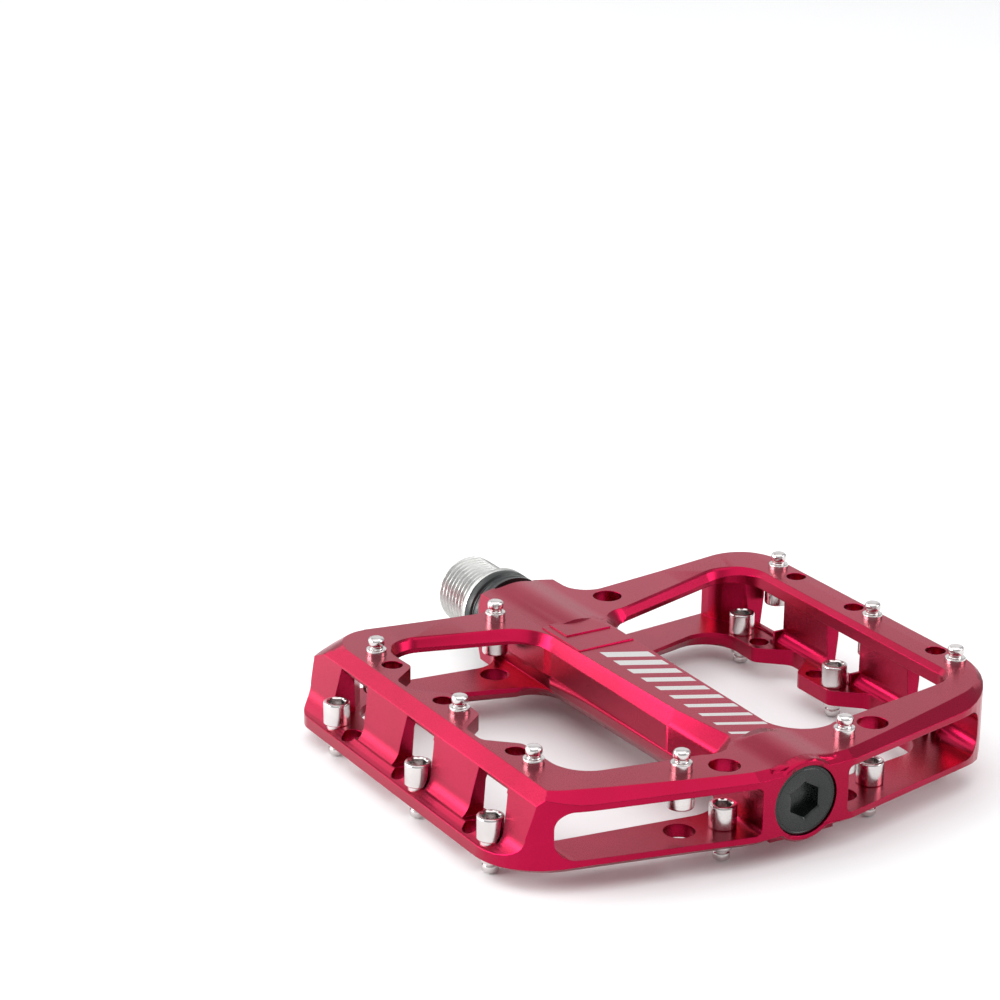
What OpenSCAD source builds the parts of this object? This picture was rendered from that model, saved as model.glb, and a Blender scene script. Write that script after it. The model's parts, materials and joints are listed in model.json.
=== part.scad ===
// Flat bicycle pedal: a machined platform that spins on an axle.
// Frame: Y is the axle axis, with the crank towards +Y and the end cap towards -Y. Z is up.
// The origin is on the axle axis, in the plane of the crank shoulder. Millimetres.
// The platform is the same seen from either face: turned 180 degrees about Y it maps onto itself,
// but for the two inboard corners, which have radii of their own.

/* [Platform] */
// Width across both side rails
platform_w = 108; // [107:0.5:110]
// Crank shoulder to the outboard face of the spine
outboard_y = 107.5; // [107.3:0.1:107.7]
// Crank shoulder to the end of the axle boss
boss_y = 6.7; // [6.7:0.1:7]
// Slope of the outboard edge, degrees
outboard_slope = 12.8; // [12.5:0.1:13]
// Slope of the inboard edge, degrees
inboard_slope = 6.1; // [6:0.1:6.3]
// Radius of the outboard corners
outboard_r = 17.5; // [17:0.1:18]
// Radius of the inboard corner on the +X side
inboard_r = 9.5; // [9:0.1:10]
// Radius of the inboard corner on the -X side
inboard_small_r = 6.2; // [5.5:0.1:7]
// Thickness at the side rails
side_t = 16.1; // [16:0.1:16.4]
// Thickness at the spine, where both faces are dished
mid_t = 14.06; // [14:0.02:14.2]
// Half the gap between the two plates
plate_gap = 4.6; // [4.4:0.02:4.7]

/* [Side rails] */
// Inner edge of the plain top flange
flange_x = 46.2; // [46:0.1:46.4]
// Tip of the fingers
finger_x = 39.8; // [39.5:0.1:40]
// Root of the notches between the fingers
notch_x = 45.7; // [45.5:0.1:45.8]
// Inner face of the web
web_x = 47.4; // [47.3:0.1:47.6]
// Top edge of the outer bevel on the fingered side
shoulder_x = 46.66; // [46.5:0.02:46.8]
// Radius of the scoop between the web and the ledge
scoop_r = 4.88; // [4.7:0.02:5]

/* [Pins] */
// Pin rows from the crank shoulder
pin_rows = [27.0, 58.65, 84.55];
// Spare threaded holes beside the pins
spare_rows = [33.25, 52.65, 78.6];
// Distance of the edge pins from the axle
edge_pin_x = 51.4; // [51.3:0.1:51.5]
// Distance of the finger pins from the axle
finger_pin_x = 42.75; // [42.6:0.05:42.9]
// Pins of the end rails, as x and distance from the shoulder
end_pins = [[-21.0, 98.7], [13.1, 100.6], [-13.1, 21.6]];
// Radius of the pin's thread
pin_r = 2.0; // [1.9:0.05:2]
// Radius of the pin's head
pin_head_r = 2.55; // [2.5:0.05:2.6]
// Height of the pin's head
pin_head_h = 4.4; // [4:0.1:4.4]
// Hex key of the pins, across flats
pin_key = 3; // [2.5:0.5:3]
// Length of the pin beyond its head
pin_l = 6.6; // [6:0.1:7]
// Radius of the access holes over the heads
access_r = 2.9; // [2.8:0.05:3]

/* [Axle] */
// Major radius of the crank thread, 9/16 in
crank_r = 7.14; // [7.1:0.01:7.14]
// Length of the crank thread
crank_l = 12; // [11:0.5:15]
// Radius of the collar and of the seal rings
collar_r = 8.35; // [8.2:0.05:8.4]
// Radius of the journal in the bush
journal_r = 5.5; // [5.4:0.01:5.5]
// Radius of the bearing seat and lock nut thread
stub_r = 3.0; // [2.9:0.05:3]
// Radial clearance of the journal in the bush
running_gap = 0.04; // [0.02:0.01:0.08]

/* [Bearings] */
// Outer radius of a cartridge bearing
race_r = 6.0; // [5.9:0.05:6]
// Width of a cartridge bearing
race_w = 4.0; // [4:0.5:4]
// Balls in one bearing
ball_n = 8; // [7:1:8]
// Radius of a ball
ball_r = 0.85; // [0.8:0.01:0.87]
// Outer radius of the end cap
cap_r = 6.72; // [6.6:0.02:6.74]

/* [Hidden] */
half_w = platform_w / 2;
side_z = side_t / 2;
mid_z = mid_t / 2;
far = 130;
tall = 12;
eps = 0.02;
bevel_tan = 0.685;
bevel_z = 5.75;
split_z = 0.8;
spine_x = 9.3;
bearing_y = 90.6;
bearing_end_y = bearing_y + 2 * race_w;
pitch_r = 4.55;
cap_face_y = outboard_y - 0.3;
foot_r = 2.5;
boss_end_r = 8.7;

$fn = 64;

// ---- outlines with rounded corners ----

function unit(v) = v / norm(v);

// Height of the dished top face at a distance x from the axle
function top_z(x) = mid_z + (side_z - mid_z) * pow(min(abs(x), edge_pin_x) / edge_pin_x, 2);

// One rounded corner of a polygon that runs anticlockwise. A corner is [x, y, radius, start, end], where
// start and end are the bevel [width, foot height, roundness] at the two ends of its arc.
function corner_arc(before, p, after) =
    let (
        here = [p.x, p.y],
        u = unit([before.x, before.y] - here),
        v = unit([after.x, after.y] - here),
        half = acos(u * v) / 2,
        turn = cross(-u, v) > 0 ? 1 : -1,
        reach = p[2] / tan(half),
        centre = here + unit(u + v) * p[2] / sin(half),
        first = here + u * reach - centre,
        start = atan2(first.y, first.x),
        sweep = turn * (180 - 2 * half),
        steps = max(1, ceil(abs(sweep) / 9))
    )
    [for (k = [0 : steps])
        let (
            a = start + sweep * k / steps,
            out = [cos(a), sin(a)],
            bevel = p[3] + (p[4] - p[3]) * k / steps
        )
        [centre + p[2] * out, turn * out, bevel]
    ];

function rounded(corners) =
    let (n = len(corners))
    [for (i = [0 : n - 1]) each corner_arc(corners[(i + n - 1) % n], corners[i], corners[(i + 1) % n])];

function outline_points(corners) = [for (p = rounded(corners)) p[0]];

plain = [0, 5.5, 0];

function half_outline(s) =
    let (
        out_edge = -outboard_y + (half_w - 10.5) * tan(outboard_slope),
        in_root = -17.9,
        in_edge = in_root + (half_w - 8.5) * tan(inboard_slope)
    )
    [
        [s * 8.5, -boss_y, 0.8, plain, plain],
        [s * 8.6, in_root, 5.5, plain, plain],
        [s * half_w, in_edge, s > 0 ? inboard_r : inboard_small_r, plain, plain],
        [s * half_w, out_edge, outboard_r, plain, plain],
        [s * 10.5, -outboard_y, 6, plain, plain]
    ];

function reversed(list) = [for (i = [len(list) - 1 : -1 : 0]) list[i]];

// ---- the two window shapes of a face ----

// Notch between two fingers, from the inboard finger's end to the outboard finger's
function notch(y_in, y_out) =
    let (run = 4.8)
    [
        [-finger_x, y_in, 2.2, plain, plain],
        [-notch_x, y_in - run, 2.2, plain, plain],
        [-notch_x, y_out + run, 2.2, plain, plain],
        [-finger_x, y_out, 2.2, plain, plain]
    ];

margin = 2.35;
small_bevel = [1.35, 5.5, 0];
spine_in = [1.1, 4.4, 0];
spine_out = [1.9, 4.2, 0];
spine_foot = [3.4, 3.6, 0];
finger_window = concat(
    [[-finger_x, -21.4, 6.4, small_bevel, [0.2, 5.5, 0]]],
    notch(-spare_rows[0] - margin, -spare_rows[1] + margin),
    notch(-pin_rows[1] - margin, -spare_rows[2] + margin),
    [
        [-finger_x, -91.5, 7.4, plain, plain],
        [-8.2, -95.8, 5, plain, spine_foot],
        [-8.65, -76, 40, spine_out, spine_out],
        [-9.0, -30.2, 7.7, spine_in, [2.0, 5.2, 0]]
    ]
);

barrel_out = [4.0, 1.2, 1];
barrel_in = [4.2, 1.2, 1];
flange_bevel = [1.1, 7, 0];
plain_window = [
    [8.3, -95.7, 6, barrel_out, [0, 5.5, 1]],
    [flange_x, -90.7, 5.6, [0, 7, 0], flange_bevel],
    [flange_x, -19.3, 6.6, flange_bevel, small_bevel],
    [9.7, -30.6, 4.2, small_bevel, barrel_in]
];

// Cuts a window down to floor_z, its upper edge bevelled as its corners say
module window_cut(corners, floor_z) {
    ring = rounded(corners);
    n = len(ring);
    steps = [0, 0.35, 0.7, 1];
    levels = len(steps) + 2;
    function spread(p, t) = p[2][0] * pow(t, 1 + p[2][2]);
    function at(p, offset, z) = [p[0].x + p[1].x * offset, p[0].y + p[1].y * offset, z];
    function level(p, k) =
        let (foot = p[2][1], head = top_z(p[0].x), rise = (head - foot) * (steps[3] - steps[2]))
        k == 0 ? at(p, 0, floor_z)
        : k <= len(steps) ? at(p, spread(p, steps[k - 1]), foot + (head - foot) * steps[k - 1])
        : at(p, spread(p, 1) + (spread(p, 1) - spread(p, steps[2])) * (9 - head) / rise, 9);
    points = [for (k = [0 : levels - 1]) for (p = ring) level(p, k)];
    sides = [
        for (k = [0 : levels - 2]) for (i = [0 : n - 1])
            let (a = k * n + i, b = k * n + (i + 1) % n)
            each [[a, a + n, b], [b, a + n, b + n]]
    ];
    bottom = [for (i = [0 : n - 1]) i];
    top = [for (i = [n - 1 : -1 : 0]) (levels - 1) * n + i];
    polyhedron(points, concat([bottom], sides, [top]));
}

// ---- pedal body ----

module both_faces() {
    children();
    rotate([0, 180, 0]) children();
}

// A profile drawn in x and z, run along Y between two distances from the shoulder
module along_y(y_near, y_far) {
    translate([0, -y_near, 0]) rotate([90, 0, 0]) linear_extrude(y_far - y_near) children();
}

module blank() {
    translate([0, 0, -side_z]) linear_extrude(side_t)
        polygon(outline_points(concat(half_outline(1), reversed(half_outline(-1)))));
}

// Everything above the dished face
module dish() {
    xs = [for (i = [-12 : 12]) i * edge_pin_x / 12];
    along_y(0, far) polygon(concat(
        [[-half_w - 2, tall], [-half_w - 2, side_z]],
        [for (x = xs) [x, top_z(x)]],
        [[half_w + 2, side_z], [half_w + 2, tall]]
    ));
}

// Outside of the set back web above the ledge: bevel, steep face and scoop
module side_scoop() {
    foot_x = 49;
    foot_z = 5.46;
    scoop_x = -50.27 - scoop_r;
    scoop_z = -1.03;
    lean = (foot_x - shoulder_x) / (side_z - foot_z);
    along_y(0, far) polygon(concat(
        [[-shoulder_x + lean * (tall - side_z), tall], [-foot_x, foot_z]],
        [for (a = [0 : -9 : -90]) [scoop_x + scoop_r * cos(a), scoop_z + scoop_r * sin(a)]],
        [[-60, scoop_z - scoop_r], [-60, tall]]
    ));
}

// Ring shaped cut with the bevel's slope, r wide at bevel_z, swept between two directions
module cone_cut(r, from, to) {
    reach = (tall - bevel_z) / bevel_tan;
    rotate([0, 0, from]) rotate_extrude(angle = to - from, $fn = 96)
        polygon([[r + 6, bevel_z - 6 * bevel_tan], [r + 6, tall], [r - reach, tall]]);
}

// Bevel along the sloping outboard edge and round its corner
module edge_bevel(s) {
    reach = (tall - bevel_z) / bevel_tan;
    lean = 3.4;
    centre = [half_w - outboard_r + lean * cos(outboard_slope), -83.65 + lean * sin(outboard_slope)];
    run = (centre.x + outboard_r * sin(outboard_slope) - 10.5) / cos(outboard_slope);
    mirror([s < 0 ? 1 : 0, 0, 0]) {
        translate([10.5, -outboard_y, 0]) rotate([0, 0, outboard_slope])
            translate([-3, 0, 0]) rotate([90, 0, 90]) linear_extrude(run + 3)
                polygon([[-1, bevel_z - bevel_tan], [reach, tall], [-1, tall]]);
        translate([-1, -outboard_y, 0]) rotate([90, 0, 90]) linear_extrude(11.2)
            polygon([[-1, bevel_z - bevel_tan], [reach, tall], [-1, tall]]);
        translate([centre.x, centre.y, 0]) cone_cut(outboard_r, outboard_slope - 90.5, 0);
    }
}

// Bevel round the inboard corner on the fingered side
module corner_bevel() {
    translate([-39.6, -22.1, 0]) cone_cut(10, 84, 180);
}

// Turned chamfer that takes the corners off the end of the axle boss
module boss_chamfer() {
    turned([[boss_end_r - 1.05, boss_y - 0.7], [boss_end_r + 4.8, boss_y + 3.2], [boss_end_r + 4.8, boss_y - 0.7]]);
}

module rounded_slot(x0, x1, r0, r1, half) {
    polygon(outline_points([
        [x0, -half, r0, plain, plain],
        [x1, -half, r1, plain, plain],
        [x1, half, r1, plain, plain],
        [x0, half, r0, plain, plain]
    ]));
}

// Smooth ridge over the bearing housing, on the top face
module ridge(ys, heights) {
    xs = [for (i = [-6 : 6]) i * 1.15];
    m = len(xs);
    n = len(ys);
    function high(x) = 0.95 * (0.5 + 0.5 * cos(180 * x / 6.9));
    tops = [for (j = [0 : n - 1]) for (x = xs) [x, -ys[j], top_z(x) - 0.06 + (high(x) + 0.06) * heights[j]]];
    feet = [for (j = [0 : n - 1]) for (x = xs) [x, -ys[j], 5]];
    function quad(a, b, c, d) = [[a, b, c], [a, c, d]];
    roof = [for (j = [0 : n - 2]) for (i = [0 : m - 2])
        each quad(j * m + i, j * m + i + 1, j * m + i + m + 1, j * m + i + m)];
    base = m * n;
    floor_ = [for (j = [0 : n - 2]) for (i = [0 : m - 2])
        each quad(base + j * m + i, base + j * m + i + m, base + j * m + i + m + 1, base + j * m + i + 1)];
    ends = [for (j = [0, n - 1]) for (i = [0 : m - 2])
        let (a = j * m + i, b = a + 1)
        each (j == 0 ? quad(a, base + a, base + b, b) : quad(a, b, base + b, base + a))];
    sides = [for (i = [0, m - 1]) for (j = [0 : n - 2])
        let (a = j * m + i, b = a + m)
        each (i == 0 ? quad(a, b, base + b, base + a) : quad(a, base + a, base + b, b))];
    polyhedron(concat(tops, feet), concat(roof, floor_, ends, sides));
}

// Machined steps where the ridge runs out onto the spine
module spine_steps() {
    along_y(30, 43.6) polygon([[-7.7, 6], [-7.4, mid_z + 0.25], [5.0, mid_z + 0.25], [5.2, 6]]);
    along_y(30, 36.5) polygon([[-6.2, 6], [-5.8, mid_z + 0.5], [4.2, mid_z + 0.5], [4.4, 6]]);
}

// Hollow between the plates on the +X side, without the end slots
module side_cavity() {
    room = [
        [spine_x, -27, 0.5, plain, plain],
        [spine_x, -92, 0.5, plain, plain],
        [44.9, -92, 4, plain, plain],
        [44.9, -27, 4, plain, plain]
    ];
    translate([0, 0, -plate_gap]) linear_extrude(2 * plate_gap) polygon(outline_points(reversed(room)));
    web_side = [[43, -90.5], [web_x, -86], [web_x, -30], [43, -25]];
    translate([0, 0, foot_r - plate_gap]) linear_extrude(2 * plate_gap - foot_r) polygon(web_side);
}

// Concave foot of the web, on the stretches between the pin pockets
module land_scoops() {
    for (span = [[35.5, 50.7], [61.1, 76.5]])
        along_y(span[0], span[1]) translate([web_x - foot_r, foot_r - plate_gap]) circle(r = foot_r);
}

// Openings of the -X web, each over one pin and its spare hole, wider at the ledge
module web_windows() {
    for (i = [0 : 2]) {
        near = min(pin_rows[i], spare_rows[i]) - margin;
        away = max(pin_rows[i], spare_rows[i]) + margin - 0.6;
        translate([-60, 0, 0]) rotate([90, 0, 90]) linear_extrude(60 - 43.5)
            polygon([[-away, -plate_gap], [-near + 1, -plate_gap], [-near, 4.2], [-away, 4.2]]);
        translate([-60, 0, 0]) rotate([90, 0, 90]) linear_extrude(60 - 48.3)
            polygon([[-away, 0], [-near + 0.5, 0], [-near - 0.1, 5.2], [-away, 5.2]]);
        for (y = [pin_rows[i], spare_rows[i]])
            translate([-edge_pin_x, -y, -plate_gap]) cylinder(r = pin_head_r + 0.4, h = plate_gap + 4.2);
        translate([-finger_pin_x, -pin_rows[i], 0]) cylinder(r = pin_head_r + 0.3, h = plate_gap);
    }
}

// Slots that open through the outboard and inboard edges on the +X side
module end_slots() {
    along_y(88, far) rounded_slot(9.3, 46.6, 1.2, 3.4, plate_gap);
    translate([0, 0, -plate_gap]) linear_extrude(2 * plate_gap) polygon(outline_points(reversed([
        [spine_x, -34, 0.5, plain, plain],
        [spine_x, 0, 0.5, plain, plain],
        [40.5, 0, 0.5, plain, plain],
        [41.5, -18.5, 6, plain, plain],
        [web_x, -26, 6, plain, plain],
        [web_x - 0.4, -34, 0.5, plain, plain]
    ])));
}

// Rounded underside of the housing inside the -X inboard slot
module housing_relief() {
    along_y(15, 36) polygon(concat(
        [[-spine_x - 0.1, -split_z]],
        [for (a = [185 : 5 : 210]) [8.9 * cos(a), 8.9 * sin(a)]],
        [[-spine_x - 0.1, -plate_gap]]
    ));
}

// Stepped bore for the bush, the axle, the bearings and the cap
module axle_bore() {
    for (step = [[boss_y - 1, 22, 6.53], [21, 91, 5.05], [bearing_y, 99, race_r + eps],
                 [bearing_end_y, far, cap_r + eps]])
        along_y(step[0], step[1]) circle(r = step[2]);
}

module pin_holes() {
    for (y = concat(pin_rows, spare_rows)) {
        translate([-finger_pin_x, -y, 2]) cylinder(r = pin_r, h = tall, $fn = 32);
        translate([edge_pin_x, -y, 2]) cylinder(r = pin_r, h = tall, $fn = 32);
    }
    for (p = end_pins) {
        translate([p.x, -p.y, 2]) cylinder(r = pin_r, h = tall, $fn = 32);
        translate([-p.x, -p.y, 2]) cylinder(r = access_r, h = tall, $fn = 48);
    }
}

// Round lip of the bearing housing at the cap
module cap_housing() {
    rotate([90, 0, 0]) translate([0, 0, 92]) cylinder(r = 7.93, h = outboard_y - 92.4, $fn = 96);
    rotate([90, 0, 0]) translate([0, 0, outboard_y - 0.41]) cylinder(r1 = 7.93, r2 = 7.5, h = 0.4, $fn = 96);
}

module pedal_body() {
    color([0.62, 0.02, 0.10]) difference() {
        union() {
            difference() {
                blank();
                both_faces() {
                    dish();
                    edge_bevel(1);
                    edge_bevel(-1);
                }
            }
            both_faces() {
                ridge([boss_y + 0.4, boss_y + 1.2, 31, 31.7, 32], [0.3, 1, 1, 0.3, 0]);
                ridge([91, 92.5, 94, outboard_y - 2.4, outboard_y - 0.9], [0, 0.5, 1, 1, 0.2]);
                spine_steps();
            }
            cap_housing();
        }
        both_faces() {
            side_scoop();
            corner_bevel();
            window_cut(finger_window, -split_z);
            window_cut(plain_window, split_z);
            side_cavity();
            land_scoops();
            web_windows();
            end_slots();
            housing_relief();
            pin_holes();
        }
        boss_chamfer();
        axle_bore();
    }
}

// ---- axle group ----

// A profile of [radius, distance from the shoulder towards the cap], turned about the axle axis
module turned(profile, segments = 96) {
    rotate([90, 0, 0]) rotate_extrude($fn = segments) polygon(profile);
}

module axle() {
    color([0.8, 0.8, 0.82]) difference() {
        turned([
            [0, -crank_l], [6.2, -crank_l], [crank_r, -crank_l + 0.9], [crank_r, 0],
            [collar_r - 0.25, 0], [collar_r, 0.25], [collar_r, 1.15], [collar_r - 0.25, 1.4],
            [journal_r, 1.4], [journal_r, 21.4], [4.8, 21.9], [4.0, 88], [4.0, bearing_y],
            [stub_r, bearing_y], [stub_r, 103.0], [stub_r - 0.5, 103.4], [0, 103.4]
        ]);
        translate([0, crank_l - 9, 0]) rotate([-90, 30, 0]) cylinder(r = 4 / cos(30), h = 10, $fn = 6);
    }
}

module dust_seal() {
    color([0.06, 0.06, 0.06]) turned([
        [journal_r + eps, 1.42], [7.9, 1.42], [8.3, 1.8], [8.3, 3.3], [7.7, 3.6], [7.9, 4.2],
        [6.4, 4.2], [6.2, 3.6], [journal_r + eps, 3.6]
    ]);
}

module inboard_bush() {
    bore = journal_r + running_gap;
    color([0.07, 0.07, 0.07]) turned([
        [bore, 4.4], [7.9, 4.4], [8.3, 4.8], [8.3, boss_y - 0.05], [6.5, boss_y - 0.05], [6.5, 21.8],
        [bore, 21.8]
    ]);
}

// ---- cartridge bearings ----

module at_bearing(i) {
    translate([0, -(bearing_y + race_w * (i + 0.5)), 0]) children();
}

module race(r_in, r_out) {
    half = race_w / 2 - 0.02;
    difference() {
        turned([[r_in, -half], [r_out, -half], [r_out, half], [r_in, half]]);
        rotate([90, 0, 0]) rotate_extrude($fn = 64) translate([pitch_r, 0]) circle(r = ball_r + 0.05, $fn = 32);
    }
}

module outer_race(i) {
    color([0.7, 0.7, 0.72]) at_bearing(i) race(5.1, race_r);
}

module inner_race(i) {
    color([0.7, 0.7, 0.72]) at_bearing(i) race(stub_r + eps, 4.0);
}

module ball_ring(r) {
    for (k = [0 : ball_n - 1])
        rotate([0, k * 360 / ball_n, 0]) translate([pitch_r, 0, 0]) sphere(r = r, $fn = 32);
}

module balls(i) {
    color([0.8, 0.8, 0.82]) at_bearing(i) ball_ring(ball_r);
}

module ball_cage(i) {
    color([0.75, 0.6, 0.3]) at_bearing(i) difference() {
        turned([[4.2, -1.2], [4.9, -1.2], [4.9, 1.2], [4.2, 1.2]]);
        for (k = [0 : ball_n - 1])
            rotate([0, k * 360 / ball_n + 90, 0]) cylinder(r = ball_r + 0.06, h = 6, $fn = 48);
    }
}

module shields(i) {
    color([0.1, 0.1, 0.1]) at_bearing(i) for (s = [-1, 1])
        translate([0, s * 1.7, 0]) turned([[4.06, -0.1], [5.08, -0.1], [5.08, 0.1], [4.06, 0.1]]);
}

module axle_washer() {
    color([0.75, 0.75, 0.77])
        turned([[stub_r + eps, bearing_end_y], [4.3, bearing_end_y], [4.3, 99.35], [stub_r + eps, 99.35]]);
}

module lock_nut() {
    color([0.35, 0.35, 0.37]) rotate([90, 0, 0]) translate([0, 0, 99.4]) difference() {
        cylinder(r = 4.5 / cos(30), h = 3.2, $fn = 6);
        translate([0, 0, -1]) cylinder(r = stub_r + eps, h = 6);
    }
}

module end_cap() {
    color([0.08, 0.09, 0.09]) difference() {
        turned([
            [0, cap_face_y], [cap_r - 0.5, cap_face_y], [cap_r, cap_face_y - 0.4], [cap_r, 105.6],
            [5.9, 105.6], [5.9, 104.7], [cap_r, 104.7], [cap_r, bearing_end_y + 0.05],
            [5.65, bearing_end_y + 0.05], [5.65, 103.7], [0, 103.7]
        ]);
        rotate([90, 0, 0]) translate([0, 0, cap_face_y - 2.7]) cylinder(r = 3 / cos(30), h = 5, $fn = 6);
    }
}

module cap_oring() {
    color([0.05, 0.05, 0.05]) rotate([90, 0, 0]) rotate_extrude($fn = 64)
        translate([6.31, 105.15]) circle(r = 0.38, $fn = 24);
}

// ---- traction pins ----

// Socket headed pin with its head's underside at z = 0 and its tip up
module pin() {
    r = pin_r - eps;
    difference() {
        union() {
            translate([0, 0, -pin_head_h]) cylinder(r1 = pin_head_r - 0.3, r2 = pin_head_r, h = 0.3, $fn = 48);
            translate([0, 0, -pin_head_h + 0.3]) cylinder(r = pin_head_r, h = pin_head_h - 0.3, $fn = 48);
            cylinder(r = r, h = 4.2, $fn = 32);
            translate([0, 0, 4.2]) cylinder(r1 = r, r2 = 1.62, h = 0.35, $fn = 32);
            translate([0, 0, 4.55]) cylinder(r = 1.62, h = pin_l - 4.55 - 0.5, $fn = 32);
            translate([0, 0, pin_l - 0.5]) cylinder(r1 = 1.62, r2 = 1.1, h = 0.5, $fn = 32);
        }
        translate([0, 0, -pin_head_h - 1]) cylinder(r = pin_key / 2 / cos(30), h = 3.4, $fn = 6);
    }
}

module pins(places, seat) {
    color([0.82, 0.82, 0.84]) for (p = places) translate([p.x, -p.y, seat]) pin();
}

finger_places = [for (y = pin_rows) [-finger_pin_x, y]];
edge_places = [for (y = pin_rows) [edge_pin_x, y]];
outboard_places = [end_pins[0], end_pins[1]];
inboard_places = [end_pins[2]];

module below() {
    rotate([0, 180, 0]) children();
}

pedal_body();
axle();
dust_seal();
inboard_bush();
outer_race(0);  // outer_race_a
inner_race(0);  // inner_race_a
ball_cage(0);  // ball_cage_a
balls(0);  // balls_a
shields(0);  // shields_a
outer_race(1);  // outer_race_b
inner_race(1);  // inner_race_b
ball_cage(1);  // ball_cage_b
balls(1);  // balls_b
shields(1);  // shields_b
axle_washer();
lock_nut();
end_cap();
cap_oring();
pins(finger_places, plate_gap);  // pins_top_fingers
pins(edge_places, plate_gap);  // pins_top_edge
pins(outboard_places, plate_gap);  // pins_top_outboard
pins(inboard_places, plate_gap);  // pin_top_inboard
below() pins(finger_places, plate_gap);  // pins_bottom_fingers
below() pins(edge_places, plate_gap);  // pins_bottom_edge
below() pins(outboard_places, plate_gap);  // pins_bottom_outboard
below() pins(inboard_places, plate_gap);  // pin_bottom_inboard
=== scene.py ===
import json
import math

import bmesh
import bpy
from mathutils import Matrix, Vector


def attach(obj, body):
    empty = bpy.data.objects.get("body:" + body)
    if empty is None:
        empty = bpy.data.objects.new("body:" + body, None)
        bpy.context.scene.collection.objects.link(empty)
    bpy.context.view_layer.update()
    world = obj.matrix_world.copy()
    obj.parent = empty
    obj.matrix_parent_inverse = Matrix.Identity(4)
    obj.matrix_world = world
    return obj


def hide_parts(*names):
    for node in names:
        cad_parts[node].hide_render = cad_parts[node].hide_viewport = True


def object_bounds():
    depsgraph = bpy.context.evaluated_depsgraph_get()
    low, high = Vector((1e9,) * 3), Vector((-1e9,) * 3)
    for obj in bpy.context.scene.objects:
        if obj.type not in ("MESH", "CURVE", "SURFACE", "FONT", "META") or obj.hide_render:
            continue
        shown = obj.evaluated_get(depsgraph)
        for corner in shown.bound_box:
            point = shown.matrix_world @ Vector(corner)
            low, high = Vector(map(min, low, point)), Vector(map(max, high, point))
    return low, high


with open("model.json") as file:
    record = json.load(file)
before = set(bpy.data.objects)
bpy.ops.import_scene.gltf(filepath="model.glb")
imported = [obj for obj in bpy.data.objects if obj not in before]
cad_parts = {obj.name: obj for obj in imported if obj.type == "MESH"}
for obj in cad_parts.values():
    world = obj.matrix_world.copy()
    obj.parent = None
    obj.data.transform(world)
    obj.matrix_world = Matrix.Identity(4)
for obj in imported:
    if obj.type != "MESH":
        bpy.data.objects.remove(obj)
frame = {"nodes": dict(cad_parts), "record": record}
size_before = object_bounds()

# Looks for a flat pedal: refined shapes, finishes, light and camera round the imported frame.
# The axle lies along Y, with the crank at +Y and the cap at -Y. +Z is up.

MM = 0.001
NODES = frame["nodes"]

# Radii and lengths in millimetres. Distances count from the crank shoulder towards the cap.

# Crank thread, collar and axle
PITCH = 25.4 / 20
THREAD_R = 7.14
THREAD_DEPTH = 0.62
THREAD_L = 12.0
ROOT_R = THREAD_R - THREAD_DEPTH * 1.05
NOSE_R = 6.1
COLLAR_R = 8.35
JOURNAL_R = 5.5
AXLE_KEY = 8

# End cap
CAP_R = 6.72
CAP_FACE = 107.2
CAP_KEY = 6

# Traction pins, seated SEAT above and below the axle plane
PIN_R = 1.98
PIN_L = 6.6
PIN_KEY = 3
HEAD_R = 2.55
HEAD_H = 4.4
WAIST_R = 1.27
SHOULDER_R = 1.36
TIP_R = 1.56
SEAT = 4.6

# Row of etched bars along the spine
BARS_START = 46
BARS_END = 92
BARS_HALF = 4.2
BAR_PITCH = 4.6
BAR_SLANT = 0.5
LEVEL_Z = 0.99

# Steps round a turned piece
AXLE_STEPS = 96
PIN_STEPS = 48
STEPS_PER_PITCH = 14

# Radius of the ring that closes the end of a turned skin
CENTRE = 0.001

# Edges that turn by more degrees than this stay sharp
SHARP_TURNED = 32
SHARP_BODY = 24

# Stage, light and camera, in metres, watts and degrees
FLOOR_HALF = 3.0
FLOOR_Z = size_before[0][2] - 0.03 * MM
LIGHT_AIM = (0, -0.055, 0)
SOFTBOXES = (
    ("left_box", (-0.60, 0.20, 0.16), (0.5, 0.30), 4),
    ("low_left", (-0.52, 0.60, 0.10), (0.5, 0.25), 0.9),
    ("top_box", (-0.05, -0.05, 0.85), (1.3, 1.3), 6.5),
    ("back_panel", (0.46, 0.66, 0.34), (0.9, 0.5), 0.7),
    ("back_left", (-0.34, 0.72, 0.50), (0.7, 0.4), 1.5),
    ("right_box", (0.50, -0.45, 0.35), (0.4, 0.3), 1.6),
)
SKY_COLOUR = (0.93, 0.94, 0.96, 1)
SKY_STRENGTH = 0.52
CAMERA_PLACE = (-0.30232, -0.50279, 0.23190)
CAMERA_TURN = (70.411, -0.6575, -30.838)
CAMERA_LENS = 110.41
CAMERA_SENSOR = 36

# Pin places as (x, distance from the shoulder), for the face that looks up
ROWS = (27.0, 58.65, 84.55)
TOP_PINS = {
    "pins_top_fingers": [(-42.75, y) for y in ROWS],
    "pins_top_edge": [(51.4, y) for y in ROWS],
    "pins_top_outboard": [(-21.0, 98.7), (13.1, 100.6)],
    "pin_top_inboard": [(-13.1, 21.6)],
}


# ---- shader helpers ----

def new_material(name):
    mat = bpy.data.materials.new(name)
    mat.use_nodes = True
    nodes = mat.node_tree.nodes
    return mat, nodes, mat.node_tree.links, nodes["Principled BSDF"]


def coords(nodes, links, scale):
    """Object coordinates in the row frame, scaled for a texture."""
    where = nodes.new("ShaderNodeTexCoord")
    mapping = nodes.new("ShaderNodeMapping")
    mapping.inputs["Scale"].default_value = scale
    links.new(where.outputs["Object"], mapping.inputs["Vector"])
    return mapping.outputs["Vector"]


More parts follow.
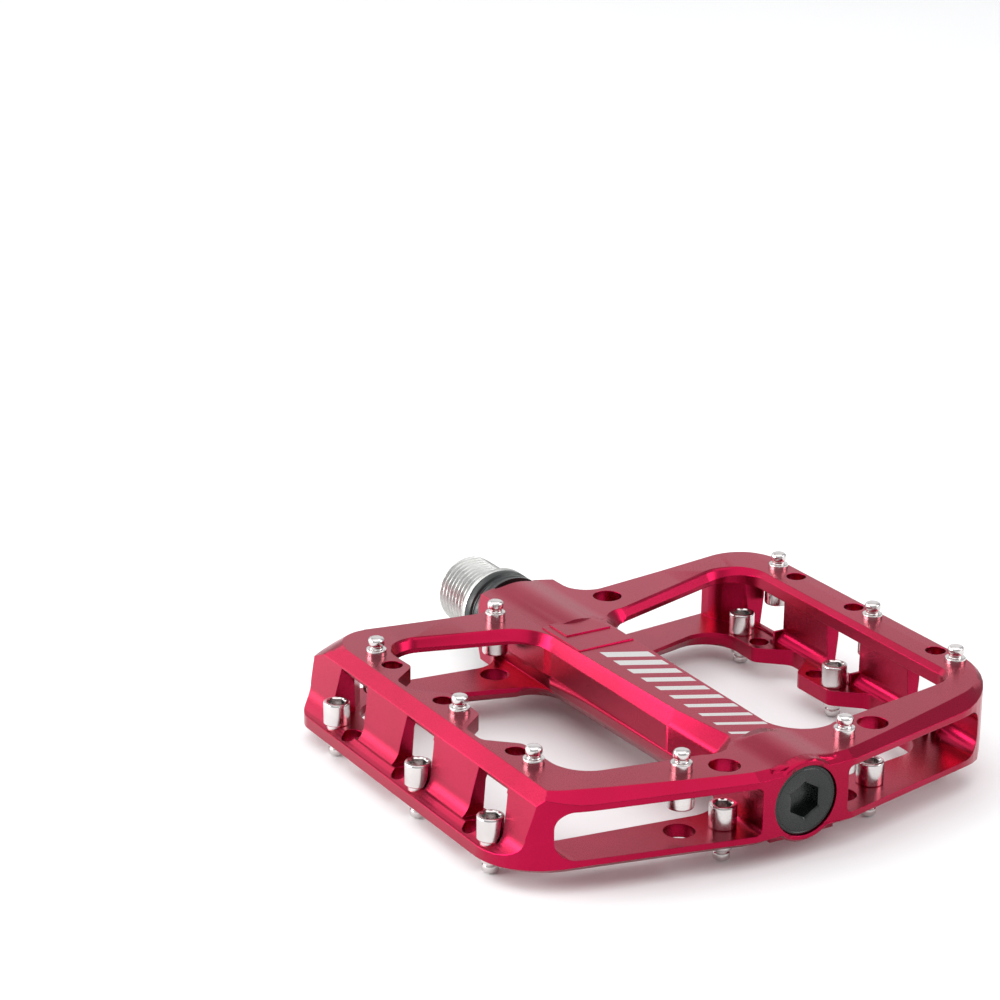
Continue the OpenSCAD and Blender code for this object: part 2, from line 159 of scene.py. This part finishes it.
def noise(nodes, links, scale, size, detail):
    tex = nodes.new("ShaderNodeTexNoise")
    tex.inputs["Scale"].default_value = size
    tex.inputs["Detail"].default_value = detail
    tex.inputs["Roughness"].default_value = 0.55
    links.new(coords(nodes, links, scale), tex.inputs["Vector"])
    return tex.outputs["Fac"]


def spread(nodes, links, value, low, high, start=0.35, end=0.65):
    """Maps a noise value to the range low..high."""
    node = nodes.new("ShaderNodeMapRange")
    node.inputs["From Min"].default_value = start
    node.inputs["From Max"].default_value = end
    node.inputs["To Min"].default_value = low
    node.inputs["To Max"].default_value = high
    links.new(value, node.inputs["Value"])
    return node.outputs["Result"]


def mix_colour(nodes, links, factor, a, b):
    node = nodes.new("ShaderNodeMix")
    node.data_type = "RGBA"
    links.new(factor, node.inputs["Factor"])
    for socket, value in ((node.inputs[6], a), (node.inputs[7], b)):
        if isinstance(value, tuple):
            socket.default_value = (*value, 1)
        else:
            links.new(value, socket)
    return node.outputs[2]


def math_node(nodes, links, operation, *values):
    node = nodes.new("ShaderNodeMath")
    node.operation = operation
    for socket, value in zip(node.inputs, values):
        if isinstance(value, (int, float)):
            socket.default_value = value
        else:
            links.new(value, socket)
    return node.outputs[0]


def edge_mask(nodes, links, rounded_normal, low, high):
    """1 where the rounded normal leaves the flat one: along edges, where a finish wears first."""
    geometry = nodes.new("ShaderNodeNewGeometry")
    dot = nodes.new("ShaderNodeVectorMath")
    dot.operation = "DOT_PRODUCT"
    links.new(rounded_normal, dot.inputs[0])
    links.new(geometry.outputs["Normal"], dot.inputs[1])
    return spread(nodes, links, dot.outputs["Value"], 1, 0, low, high)


def etched_bars(nodes, links):
    """Mask of a row of plain slanted bars on the flat pads of the spine, thinner towards the cap."""
    place = nodes.new("ShaderNodeSeparateXYZ")
    links.new(nodes.new("ShaderNodeTexCoord").outputs["Object"], place.inputs[0])
    facing = nodes.new("ShaderNodeSeparateXYZ")
    links.new(nodes.new("ShaderNodeNewGeometry").outputs["Normal"], facing.inputs[0])
    slant = math_node(nodes, links, "MULTIPLY", place.outputs["X"], BAR_SLANT)
    along = math_node(nodes, links, "ADD", place.outputs["Y"], slant)
    beat = math_node(nodes, links, "FRACT", math_node(nodes, links, "DIVIDE", along, BAR_PITCH * MM))
    fill = spread(nodes, links, along, 0.22, 0.62, -BARS_END * MM, -BARS_START * MM)
    across = math_node(nodes, links, "ABSOLUTE", place.outputs["X"])
    level = math_node(nodes, links, "ABSOLUTE", facing.outputs["Z"])
    tests = [
        math_node(nodes, links, "LESS_THAN", beat, fill),
        math_node(nodes, links, "LESS_THAN", along, -BARS_START * MM),
        math_node(nodes, links, "GREATER_THAN", along, -BARS_END * MM),
        math_node(nodes, links, "LESS_THAN", across, BARS_HALF * MM),
        math_node(nodes, links, "GREATER_THAN", level, LEVEL_Z),
    ]
    mask = tests[0]
    for test in tests[1:]:
        mask = math_node(nodes, links, "MULTIPLY", mask, test)
    return mask


def bump(nodes, links, height, strength, distance, normal=None):
    node = nodes.new("ShaderNodeBump")
    node.inputs["Strength"].default_value = strength
    node.inputs["Distance"].default_value = distance
    links.new(height, node.inputs["Height"])
    if normal is not None:
        links.new(normal, node.inputs["Normal"])
    return node.outputs["Normal"]


def soft_edges(nodes, radius):
    node = nodes.new("ShaderNodeBevel")
    node.samples = 6
    node.inputs["Radius"].default_value = radius
    return node.outputs["Normal"]


# ---- finishes ----

def red_anodising():
    """Dyed anodising on machined aluminium: a metal base under a faint clear layer."""
    mat, nodes, links, bsdf = new_material("red_anodised")
    cloud = noise(nodes, links, (1, 1, 1), 45, 3)
    grain = noise(nodes, links, (1, 0.12, 1), 5200, 2)
    speck = noise(nodes, links, (1, 1, 1), 9000, 2)
    tint = spread(nodes, links, cloud, 0, 1)
    normal = soft_edges(nodes, 0.25 * MM)
    wear = math_node(nodes, links, "MULTIPLY", edge_mask(nodes, links, normal, 0.80, 0.97), tint)
    base = mix_colour(nodes, links, tint, (0.33, 0.0005, 0.030), (0.40, 0.0008, 0.041))
    worn = mix_colour(nodes, links, wear, base, (0.56, 0.006, 0.08))
    etched = mix_colour(nodes, links, etched_bars(nodes, links), worn, (0.74, 0.72, 0.71))
    links.new(etched, bsdf.inputs["Base Color"])
    bsdf.inputs["Metallic"].default_value = 1.0
    links.new(spread(nodes, links, speck, 0.25, 0.33), bsdf.inputs["Roughness"])
    bsdf.inputs["Coat Weight"].default_value = 0.34
    bsdf.inputs["Coat Roughness"].default_value = 0.34
    bsdf.inputs["Coat IOR"].default_value = 1.32
    links.new(bump(nodes, links, grain, 0.10, 0.01 * MM, normal), bsdf.inputs["Normal"])
    return mat


def steel(name, colour, rough, grain_scale=(1, 1, 1), grain_size=4000, metallic=1.0):
    """Bare steel with fine tool marks and slight staining."""
    mat, nodes, links, bsdf = new_material(name)
    stain = noise(nodes, links, (1, 1, 1), 220, 4)
    grain = noise(nodes, links, grain_scale, grain_size, 2)
    dark = tuple(c * 0.84 for c in colour)
    tint = spread(nodes, links, stain, 0, 1)
    links.new(mix_colour(nodes, links, tint, dark, colour), bsdf.inputs["Base Color"])
    bsdf.inputs["Metallic"].default_value = metallic
    links.new(spread(nodes, links, grain, rough * 0.8, rough * 1.35), bsdf.inputs["Roughness"])
    links.new(bump(nodes, links, grain, 0.12, 0.01 * MM), bsdf.inputs["Normal"])
    return mat


def moulded(name, colour, rough):
    """Rubber or plastic with a fine grain and handling dust."""
    mat, nodes, links, bsdf = new_material(name)
    dust = noise(nodes, links, (1, 1, 1), 160, 5)
    grain = noise(nodes, links, (1, 1, 1), 2500, 3)
    grey = tuple(c * 1.9 + 0.004 for c in colour)
    tint = spread(nodes, links, dust, 0, 1, 0.45, 0.75)
    links.new(mix_colour(nodes, links, tint, colour, grey), bsdf.inputs["Base Color"])
    links.new(spread(nodes, links, grain, rough * 0.85, rough * 1.2), bsdf.inputs["Roughness"])
    links.new(bump(nodes, links, grain, 0.15, 0.02 * MM), bsdf.inputs["Normal"])
    return mat


def pale_floor():
    """Matt, nearly white, with a faint cloud."""
    mat, nodes, links, bsdf = new_material("pale_floor")
    cloud = noise(nodes, links, (1, 1, 1), 3, 3)
    tint = spread(nodes, links, cloud, 0, 1)
    base = mix_colour(nodes, links, tint, (0.91, 0.91, 0.91), (0.93, 0.93, 0.93))
    links.new(base, bsdf.inputs["Base Color"])
    bsdf.inputs["Roughness"].default_value = 0.9
    bsdf.inputs["Specular IOR Level"].default_value = 0.1
    return mat


FINISH = {
    "red_anodised": red_anodising(),
    "steel": steel("machined_steel", (0.60, 0.60, 0.58), 0.36, (1, 6, 1), 900),
    "pin_steel": steel("pin_steel", (0.74, 0.70, 0.69), 0.20),
    "bearing_steel": steel("bearing_steel", (0.55, 0.55, 0.56), 0.18),
    "cage_brass": steel("cage_brass", (0.62, 0.46, 0.20), 0.35),
    "rubber_black": moulded("rubber_black", (0.007, 0.009, 0.009), 0.36),
    "bush_plastic": moulded("bush_plastic", (0.008, 0.010, 0.010), 0.30),
    "black_anodised": steel("black_anodised", (0.004, 0.007, 0.006), 0.26, (1, 1, 1), 3000, 0.0),
}


# ---- mesh helpers ----

def finish_piece(obj, slot_name, body, node):
    """Gives a new piece its finish and its body, in place of one CAD node."""
    obj.data.materials.clear()
    obj.data.materials.append(FINISH[slot_name])
    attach(obj, body)
    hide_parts(node)


def link_mesh(name, verts, faces):
    """A new object with outward normals, smooth but for its sharp edges."""
    mesh = bpy.data.meshes.new(name)
    mesh.from_pydata(verts, [], faces)
    mesh.validate()
    bm = bmesh.new()
    bm.from_mesh(mesh)
    bmesh.ops.remove_doubles(bm, verts=bm.verts, dist=1e-6)
    bmesh.ops.recalc_face_normals(bm, faces=bm.faces)
    bm.to_mesh(mesh)
    bm.free()
    mesh.shade_smooth()
    mesh.set_sharp_from_angle(angle=math.radians(SHARP_TURNED))
    obj = bpy.data.objects.new(name, mesh)
    bpy.context.scene.collection.objects.link(obj)
    return obj


def hexagon(apothem):
    """Radius of a hexagon as a function of the angle."""
    def radius(angle):
        return apothem / math.cos((angle + math.pi / 6) % (math.pi / 3) - math.pi / 6)
    return radius


def on_axle(r, angle, h):
    """Placement about the axle, with heights counted from the crank shoulder towards the cap."""
    return (r * math.cos(angle) * MM, -h * MM, r * math.sin(angle) * MM)


def upright(x, y, base, up):
    """Placement about a vertical line, with heights counted up or down from the axle plane."""
    def place(r, angle, h):
        return ((x + r * math.cos(angle)) * MM, (-y + r * math.sin(angle)) * MM, up * (base + h) * MM)
    return place


def ring_faces(rows, steps):
    """Quads between each ring of points and the next."""
    faces = []
    for i in range(rows):
        for k in range(steps):
            a, b = i * steps + k, i * steps + (k + 1) % steps
            faces.append((a, b, b + steps, a + steps))
    return faces


def turned(profile, place, steps):
    """Skin through rings of (radius or radius function, height)."""
    verts = []
    for radius, h in profile:
        for k in range(steps):
            angle = 2 * math.pi * k / steps
            r = radius(angle) if callable(radius) else radius
            verts.append(place(r, angle, h))
    return verts, ring_faces(len(profile) - 1, steps)


def joined(parts):
    """Several skins as one."""
    verts, faces = [], []
    for part_verts, part_faces in parts:
        base = len(verts)
        verts += part_verts
        faces += [tuple(base + i for i in face) for face in part_faces]
    return verts, faces


# ---- pedal body ----

def pedal_body():
    """The CAD body with its flats merged and smooth shading that keeps its sharp edges; the edges look broken,
    as they are after tumbling, only through the rounded shading of its finish.
    """
    mesh = NODES["pedal_body"].data.copy()
    bm = bmesh.new()
    bm.from_mesh(mesh)
    bmesh.ops.remove_doubles(bm, verts=bm.verts, dist=0.035 * MM)
    bmesh.ops.dissolve_limit(
        bm, angle_limit=math.radians(0.4), verts=bm.verts, edges=bm.edges, delimit=set()
    )
    bm.to_mesh(mesh)
    bm.free()
    obj = bpy.data.objects.new("pedal_shell", mesh)
    bpy.context.scene.collection.objects.link(obj)
    mesh.shade_smooth()
    mesh.set_sharp_from_angle(angle=math.radians(SHARP_BODY))
    flats = obj.modifiers.new("flats", "WEIGHTED_NORMAL")
    flats.keep_sharp = True
    flats.weight = 100
    finish_piece(obj, "red_anodised", "pedal", "pedal_body")


# ---- pins ----

def pin_skin(x, y, up):
    """Pin with a socketed head inside the plates, and a base ring, a waist and a rounded tip outside."""
    hexa = hexagon(PIN_KEY / 2)
    head = -HEAD_H
    socket = [(CENTRE, head + 2.5), (0.7, head + 2.35), (hexa, head + 2.1), (hexa, head + 0.22)]
    socket += [(1.88, head), (HEAD_R - 0.32, head)]
    wall = [(HEAD_R - 0.12, head + 0.07), (HEAD_R - 0.03, head + 0.2), (HEAD_R, head + 0.4)]
    wall += [(HEAD_R, -0.16), (HEAD_R - 0.12, 0)]
    shank = [(PIN_R, 0), (PIN_R, 3.9), (PIN_R, 4.1), (1.93, 4.24), (1.78, 4.33)]
    waist = [(SHOULDER_R, 4.4), (WAIST_R, 4.52), (WAIST_R, 4.85), (SHOULDER_R, 4.98)]
    tip = [(1.5, 5.08), (TIP_R, 5.25), (TIP_R, 5.95), (1.5, 6.2), (SHOULDER_R, 6.38)]
    tip += [(1.12, 6.51), (0.8, PIN_L - 0.03), (0.4, PIN_L), (CENTRE, PIN_L)]
    return turned(socket + wall + shank + waist + tip, upright(x, y, SEAT, up), PIN_STEPS)


def pin_group(node, places, up):
    """The pins of one rail. The lower face is the upper one turned over about the axle."""
    skins = [pin_skin(x * up, y, up) for x, y in places]
    obj = link_mesh(node.replace("pin", "traction_pin", 1), *joined(skins))
    finish_piece(obj, "pin_steel", "pedal", node)


# ---- axle group ----

def thread_radius(turn):
    """Height of a 60 degree thread at a fraction of one turn, with rounded crest and root."""
    t = abs((turn % 1.0) * 2 - 1)
    flank = min(max((t - 0.10) / 0.78, 0), 1)
    return THREAD_R - THREAD_DEPTH * (1 - flank)


def threaded_end():
    """Right-hand crank thread as a true helix, with an undercut at the shoulder and a chamfered nose."""
    verts = []
    rows = int(THREAD_L / PITCH * STEPS_PER_PITCH)
    for i in range(rows + 1):
        h = THREAD_L * i / rows
        limit = min(THREAD_R, NOSE_R + (THREAD_L - h) * 1.15)
        for k in range(AXLE_STEPS):
            angle = 2 * math.pi * k / AXLE_STEPS
            r = min(thread_radius(h / PITCH + k / AXLE_STEPS), limit)
            if h < 1.0:
                r = min(r, ROOT_R + max(0, h - 0.8) * 3)
            verts.append(on_axle(r, angle, -h))
    return verts, ring_faces(rows, AXLE_STEPS)


def axle():
    """Hex socket in the crank end, thread, collar, inboard journal and the tapered shaft to the nut."""
    hexa = hexagon(AXLE_KEY / 2)
    nose = -THREAD_L
    socket = [(CENTRE, -3.2), (3.0, -3.4), (hexa, -3.6), (hexa, nose + 0.5), (4.75, nose + 0.02)]
    socket += [(5.7, nose), (NOSE_R, nose)]
    collar = [(ROOT_R, 0), (7.6, 0), (8.0, 0.02), (8.24, 0.12), (COLLAR_R, 0.32)]
    collar += [(COLLAR_R, 1.1), (8.24, 1.3), (8.0, 1.39)]
    shaft = [(JOURNAL_R, 1.4), (JOURNAL_R, 21.4), (4.8, 21.9), (4.0, 88), (4.0, 90.6), (3.0, 90.6)]
    shaft += [(3.0, 103.0), (2.6, 103.4), (CENTRE, 103.4)]
    parts = [turned(socket, on_axle, AXLE_STEPS), threaded_end()]
    parts.append(turned(collar + shaft, on_axle, AXLE_STEPS))
    finish_piece(link_mesh("axle_turned", *joined(parts)), "steel", "axle", "axle")


def turned_piece(name, profile, slot_name, body, node):
    """One skin about the axle, in place of a CAD node."""
    skin = turned(profile, on_axle, AXLE_STEPS)
    finish_piece(link_mesh(name, *skin), slot_name, body, node)


def dust_seal():
    """Lipped ring against the collar."""
    inner = JOURNAL_R + 0.02
    profile = [(inner, 1.42), (7.8, 1.42), (8.12, 1.5), (8.3, 1.72), (8.33, 2.0), (8.33, 2.9), (8.25, 3.15)]
    profile += [(8.0, 3.3), (7.78, 3.42), (7.72, 3.6), (7.86, 3.8), (7.9, 4.0), (7.7, 4.2), (6.5, 4.2)]
    profile += [(6.2, 4.0), (6.1, 3.6), (inner, 3.6), (inner, 1.42)]
    turned_piece("seal_ring", profile, "rubber_black", "axle", "dust_seal")


def inboard_bush():
    """Plain bush with a grooved flange against the boss."""
    bore = JOURNAL_R + 0.04
    profile = [(bore, 4.4), (7.7, 4.4), (8.1, 4.5), (8.3, 4.75), (8.3, 5.5), (8.2, 5.75)]
    profile += [(8.3, 6.0), (8.3, 6.65), (6.5, 6.65), (6.5, 21.6), (6.3, 21.8), (bore, 21.8), (bore, 4.4)]
    turned_piece("bush", profile, "bush_plastic", "pedal", "inboard_bush")


def end_cap():
    """Screwed cap with a hex socket, a ring groove on its face and a groove for the O-ring."""
    hexa = hexagon(CAP_KEY / 2)
    face = CAP_FACE
    profile = [(CENTRE, face - 2.7), (1.6, face - 2.65), (hexa, face - 2.5), (hexa, face - 0.25)]
    profile += [(3.75, face), (5.9, face), (5.98, face - 0.06), (6.1, face - 0.06), (6.18, face), (6.36, face)]
    profile += [(6.58, face - 0.1), (CAP_R, face - 0.32), (CAP_R, 105.6), (5.9, 105.6), (5.9, 104.7)]
    profile += [(CAP_R, 104.7), (CAP_R, 98.65), (5.65, 98.65), (5.65, 103.7), (CENTRE, 103.7)]
    turned_piece("cap", profile, "black_anodised", "pedal", "end_cap")


# ---- carried-over nodes ----

def carry_over():
    """Gives the CAD nodes that are shown as they are a finish, and changes nothing else on them."""
    slots = {row["node"]: row["material_slot"] for row in frame["record"]["subparts"]}
    for name, obj in NODES.items():
        if not obj.hide_render:
            obj.material_slots[0].material = FINISH[slots[name]]


# ---- surroundings ----

def floor():
    """Plain square just under the tips of the lower pins."""
    mesh = bpy.data.meshes.new("floor")
    h = FLOOR_HALF
    corners = [(-h, -h, FLOOR_Z), (h, -h, FLOOR_Z), (h, h, FLOOR_Z), (-h, h, FLOOR_Z)]
    mesh.from_pydata(corners, [], [(0, 1, 2, 3)])
    obj = bpy.data.objects.new("floor", mesh)
    bpy.context.scene.collection.objects.link(obj)
    mesh.materials.append(pale_floor())


def softbox(name, place, size, power):
    """Rectangular light that faces the pedal, and that the camera doesn't see."""
    light = bpy.data.lights.new(name, "AREA")
    light.shape = "RECTANGLE"
    light.size, light.size_y = size
    light.energy = power
    obj = bpy.data.objects.new(name, light)
    obj.location = Vector(place)
    obj.rotation_euler = (Vector(LIGHT_AIM) - Vector(place)).to_track_quat("-Z", "Y").to_euler()
    obj.visible_camera = False
    bpy.context.scene.collection.objects.link(obj)


def world_light():
    world = bpy.data.worlds.new("studio")
    world.use_nodes = True
    back = world.node_tree.nodes["Background"]
    back.inputs["Color"].default_value = SKY_COLOUR
    back.inputs["Strength"].default_value = SKY_STRENGTH
    bpy.context.scene.world = world


def lights():
    for row in SOFTBOXES:
        softbox(*row)
    world_light()


def colour_view():
    """Plain colour view, so that the dyed red keeps its depth."""
    bpy.context.scene.view_settings.view_transform = "Standard"


def camera():
    """The photograph's viewing angle and framing."""
    cam = bpy.data.cameras.new("photo_view")
    cam.lens = CAMERA_LENS
    cam.sensor_width = CAMERA_SENSOR
    cam.clip_start = 0.01
    obj = bpy.data.objects.new("photo_view", cam)
    obj.location = CAMERA_PLACE
    obj.rotation_euler = tuple(math.radians(a) for a in CAMERA_TURN)
    bpy.context.scene.collection.objects.link(obj)
    bpy.context.scene.camera = obj


pedal_body()
for node_name, places in TOP_PINS.items():
    pin_group(node_name, places, 1)
    pin_group(node_name.replace("top", "bottom"), places, -1)
axle()
dust_seal()
inboard_bush()
end_cap()
carry_over()
floor()
lights()
camera()
colour_view()
